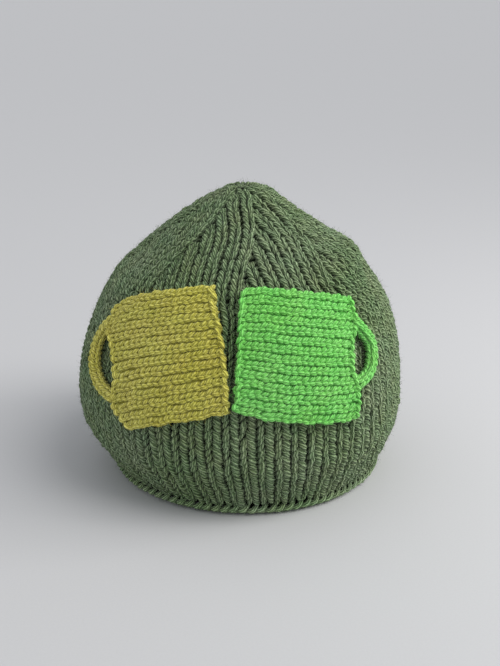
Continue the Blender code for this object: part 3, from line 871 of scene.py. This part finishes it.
# painted light: the second value brightens the knobs' strands over their painted shading
KNOB_SLOPE, KNOB_PAINTED_LIGHT = 0.4, 1.2
EDGE_WANDER = 0.00035
EDGE_WANDER_ALONG, EDGE_WANDER_ACROSS = 0.0011, 0.0016
MUG_CLOTH_DEPTH, MUG_CLOTH_THICK = 0.0016, 0.0009
MUG_CLOTH_POINTS = 40
MUG_CLOTH_INSET = 0.004
MUG_HAIRS, HANDLE_HAIRS, WEDGE_HAIRS = 1500, 200, 4200

HANDLE_POINTS = 200
HANDLE_STITCH = 0.0031
HANDLE_FIRST, HANDLE_LAST = -0.3, -0.5    # in stitches, from the two ends
HANDLE_START, HANDLE_REACH, HANDLE_STAGGER = -0.2, 1.45, 0.12    # in stitches
HandleStrand = namedtuple("HandleStrand", "out slant link")    # out and slant are in the cord's radii
HANDLE_STRANDS = (
    HandleStrand(0.42, 0.45, Link(0.0009, 0.0020, 0.00130, 0.48, 0.0012)),
    HandleStrand(0.98, -0.20, Link(0.0026, 0.0020, 0.00120, 0.48, 0.0012)),
)


def on_mug(name):
    """Makes the placing function of a mug: shares across and up, and lift over the mug's face."""
    edges = mug_edges(name, MUG_EDGE_POINTS)
    at = np.linspace(0.0, 1.0, MUG_EDGE_POINTS)

    def edge(side, share):
        return np.stack([np.interp(share, at, edges[side][:, k]) for k in (0, 1)], axis=-1)

    def place(a, b, lift):
        a, b, lift = np.broadcast_arrays(a, b, lift)
        a_in, b_in = np.clip(a, 0.0, 1.0), np.clip(b, 0.0, 1.0)
        x, y = a_in[..., None], b_in[..., None]
        low, high = edges["bottom"], edges["top"]
        flat = (1 - x) * edge("left", b_in) + x * edge("right", b_in)
        flat = flat + (1 - y) * edge("bottom", a_in) + y * edge("top", a_in)
        flat = flat - (1 - x) * ((1 - y) * low[0] + y * high[0]) - x * ((1 - y) * low[-1] + y * high[-1])
        wide, tall = np.ptp(edges["bottom"][:, 0]), np.ptp(edges["left"][:, 1])
        across, along = flat[..., 0] + (a - a_in) * wide, flat[..., 1] + (b - b_in) * tall
        across = across + EDGE_WANDER * (2 * a - 1) * np.sin(flat[..., 1] / EDGE_WANDER_ALONG)
        along = along + EDGE_WANDER * (2 * b - 1) * np.sin(flat[..., 0] / EDGE_WANDER_ACROSS)
        return surface(across / BELLY_RADIUS, along, lift + MUG_TOP_LIFT)

    return place


def mug_stitches(name, place, look):
    """A mug's columns of stitches, which run sideways and open to the right, and its edges' chains."""
    yarn = Yarn()
    wale, stitch = 1.0 / MUG_WALES, 1.0 / MUG_STITCHES
    i, j = (x.ravel() for x in np.meshgrid(np.arange(MUG_WALES), np.arange(MUG_STITCHES), indexing="ij"))
    a = (j + MUG_STAGGER * (i % 2) + MUG_FIRST) * stitch
    b = 0.5 + MUG_STRETCH * ((i + 0.5) * wale - 0.5) + MUG_WAVE * wale * np.sin(0.9 * j + 2.0 * i)
    for leg in MUG_LEGS:
        shake = jitter(3, len(a))
        u = a[:, None] + (leg.start + leg.reach * STEPS + MUG_LEG_SHIFT * shake[0]) * stitch
        u = np.clip(u, MUG_INSET, 1 - MUG_INSET)
        across = leg.side * (leg.near + (leg.far - leg.near) * STEPS)
        v = b[:, None] + (across + MUG_LEG_SWAY * shake[1]) * wale
        lift = LINK_SHIFT * shake[0] - MUG_LEG_DEPTH - MUG_LEG_DIP * (1 - ARCH) ** MUG_LEG_DIP_EASE
        wide = MUG_LEG_HALF_WIDTH * (MUG_LEG_END_SHARE + (1 - MUG_LEG_END_SHARE) * ARCH)
        wide = wide * (1 + LINK_UNEVEN * shake[2])
        yarn.add(place, u, v, lift, wide, MUG_LEG_HALF_THICK, MUG_PLY_SLOPE)
    knob = KNOB / MUG_SIZE
    for share, inward in ((0.0, 1), (1.0, -1)):
        start = np.linspace(0.0, 1.0 - knob, round(KNOB_ROWS / knob))[:, None]
        shake = jitter(3, len(start))
        yarn.add_links(
            place, share + inward * (KNOB_START + KNOB_SLANT * STEPS + KNOB_SHIFT_IN * shake[0]),
            start + knob * (KNOB_REACH * STEPS + KNOB_SHIFT_UP * shake[2]),
            KNOB_LINK, uneven=KNOB_UNEVEN * shake[1], slope=KNOB_SLOPE, painted_light_gain=KNOB_PAINTED_LIGHT,
        )
    yarn.add_hairs(MUG_HAIRS)
    return yarn.piece(name + "_stitches", look)


def mug_cloth(name, place, look):
    """The thin cloth that a mug's stitches lie on."""
    share = np.linspace(MUG_CLOTH_INSET, 1 - MUG_CLOTH_INSET, MUG_CLOTH_POINTS)
    a, b = np.meshgrid(share, share)
    layers = [place(a, b, -MUG_CLOTH_DEPTH - depth) for depth in (0.0, MUG_CLOTH_THICK)]
    cloth = thin_cloth(name + "_cloth", layers, (look,))
    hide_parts(name)
    return cloth


def mug_handle(name, look):
    """A knitted cord, two columns of stitches wide, sewn down in a loop."""
    first, last = HANDLE_ROOTS[name]
    fine = smooth_curve(on_belly((first, *MUG_HANDLES[name], last)), HANDLE_POINTS)
    length = np.concatenate([[0.0], np.cumsum(np.linalg.norm(np.diff(fine, axis=0), axis=1))])
    slope = unit(np.gradient(fine, axis=0))

    def place(across, along, lift):
        across, along, lift = np.broadcast_arrays(across, along, lift)
        x, y, dx, dy = (np.interp(along, length, column) for column in (*fine.T, *slope.T))
        lift = lift + MUG_CLEARANCE + MUG_HANDLE_RADIUS
        return surface((x + across * dy) / BELLY_RADIUS, y - across * dx, lift)

    yarn = Yarn()
    last_start = length[-1] + HANDLE_LAST * HANDLE_STITCH
    start = np.arange(HANDLE_FIRST * HANDLE_STITCH, last_start, HANDLE_STITCH)[:, None]
    for side in (-1, 1):
        for strand in HANDLE_STRANDS:
            shake = jitter(2, len(start))
            across = side * MUG_HANDLE_RADIUS * (strand.out + strand.slant * (STEPS - 0.5))
            along = start + (HANDLE_REACH * STEPS + HANDLE_START + HANDLE_STAGGER * side) * HANDLE_STITCH
            yarn.add_links(
                place, across + LINK_SHIFT * shake[0], along, strand.link,
                uneven=LINK_UNEVEN * shake[1], slope=MUG_PLY_SLOPE,
            )
    yarn.add_hairs(HANDLE_HAIRS)
    made = yarn.piece(name + "_cord", look)
    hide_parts(name)
    return made


# ---- building the cosy -----------------------------------------------------------------------------------

grounds = {
    "front": ground("front_cloth", 0.0, "cosy_front"),
    "back": ground("back_cloth", math.pi, "cosy_back"),
}
stitches = {"front": [], "back": []}
for wedge in range(FIRST_WEDGE, FIRST_WEDGE + WEDGES):
    yarn, place = Yarn(), on_ribs(wedge)
    rib_stitches(yarn, place, wedge)
    purl_bars(yarn, place, wedge)
    hem_chain(yarn, place, wedge)
    if wedge == 0:
        gather_knot(yarn)
    if wedge in SEAM_WEDGES:
        seam_stitches(yarn, place, wedge)
        selvedge(yarn, place, wedge * RIBS_PER_WEDGE + SELVEDGE_INSET)
    if wedge + 1 in SEAM_WEDGES or wedge + 1 - WEDGES in SEAM_WEDGES:
        selvedge(yarn, place, (wedge + 1) * RIBS_PER_WEDGE - SELVEDGE_INSET)
    yarn.add_hairs(WEDGE_HAIRS)
    made = yarn.piece(f"rib_stitches_{wedge - FIRST_WEDGE + 1}", SAGE)
    stitches["front" if wedge < SEAM_WEDGES[1] else "back"].append(made)

for name, slot, look, shaded_ground_look in (
    ("mug_olive", "olive_yarn", OLIVE, OLIVE_SHADED_GROUND),
    ("mug_green", "bright_green_yarn", GREEN, GREEN_SHADED_GROUND),
):
    place = on_mug(name)
    yarn_piece = mug_stitches(name, place, look)
    cloth = mug_cloth(name, place, shaded_ground_look)
    cord = mug_handle(name + "_handle", look)

# ---- floor, lights and camera ----------------------------------------------------------------------------

FLOOR_SIZE = 16.0
FLOOR_GRAIN = Noise(900.0, 2.0)
LIGHTS_TARGET = (0.0, 0.0, 0.05)

CAMERA_DISTANCE = 0.600
CAMERA_ELEVATION = 19.63
CAMERA_LENS_MM = 60.6
SENSOR_MM = 36.0
TARGET = (0.0, 0.0010, 0.07125)
SHIFT_X = 0.015


def floor():
    half = FLOOR_SIZE / 2
    corners = [(-half, -half, 0.0), (half, -half, 0.0), (half, half, 0.0), (-half, half, 0.0)]
    made = mesh_object("floor", corners, np.array([[0, 1, 2, 3]]))
    paper, nodes, links, shader = new_material("floor_paper")
    grain = noise_node(nodes, links, nodes.new("ShaderNodeTexCoord").outputs["Object"], FLOOR_GRAIN)
    color = ramp_node(nodes, links, grain, (0.3, (0.550, 0.550, 0.556)), (0.7, (0.565, 0.565, 0.571)))
    links.new(color, shader.inputs["Base Color"])
    shader.inputs["Roughness"].default_value = 0.9
    made.data.materials.append(paper)
    return made


def place_in_scene(name, data, location, target):
    """Adds a light or camera that looks at target."""
    made = bpy.data.objects.new(name, data)
    made.location = location
    made.rotation_euler = (Vector(target) - made.location).to_track_quat("-Z", "Y").to_euler()
    bpy.context.scene.collection.objects.link(made)
    return made


def sun(name, location, strength, angle, color):
    light = bpy.data.lights.new(name, "SUN")
    light.energy, light.angle, light.color = strength, math.radians(angle), color
    place_in_scene(name, light, location, LIGHTS_TARGET)


def lamp(name, location, size, power, color):
    light = bpy.data.lights.new(name, "AREA")
    light.energy, light.size, light.color = power, size, color
    place_in_scene(name, light, location, LIGHTS_TARGET)


def sky(color, strength):
    world = bpy.data.worlds.new("studio")
    world.use_nodes = True
    world.node_tree.nodes["Background"].inputs["Color"].default_value = (*color, 1.0)
    world.node_tree.nodes["Background"].inputs["Strength"].default_value = strength
    bpy.context.scene.world = world


def camera():
    data = bpy.data.cameras.new("camera")
    data.sensor_fit, data.sensor_height, data.sensor_width = "VERTICAL", SENSOR_MM, SENSOR_MM
    data.lens, data.shift_x = CAMERA_LENS_MM, SHIFT_X
    data.clip_start, data.clip_end = 0.01, 50.0
    tilt = math.radians(CAMERA_ELEVATION)
    location = Vector(TARGET) + CAMERA_DISTANCE * Vector((0.0, -math.cos(tilt), math.sin(tilt)))
    bpy.context.scene.camera = place_in_scene("camera", data, location, TARGET)


floor()
sun("window", (0.62, -0.38, 1.02), strength=1.22, angle=38, color=(1.0, 0.985, 0.965))
lamp("right_fill", (0.62, -0.05, 0.42), size=0.35, power=2.3, color=(1.0, 0.99, 0.97))
sky(color=(0.93, 0.955, 1.0), strength=0.64)
bpy.context.scene.view_settings.view_transform = "Standard"
camera()
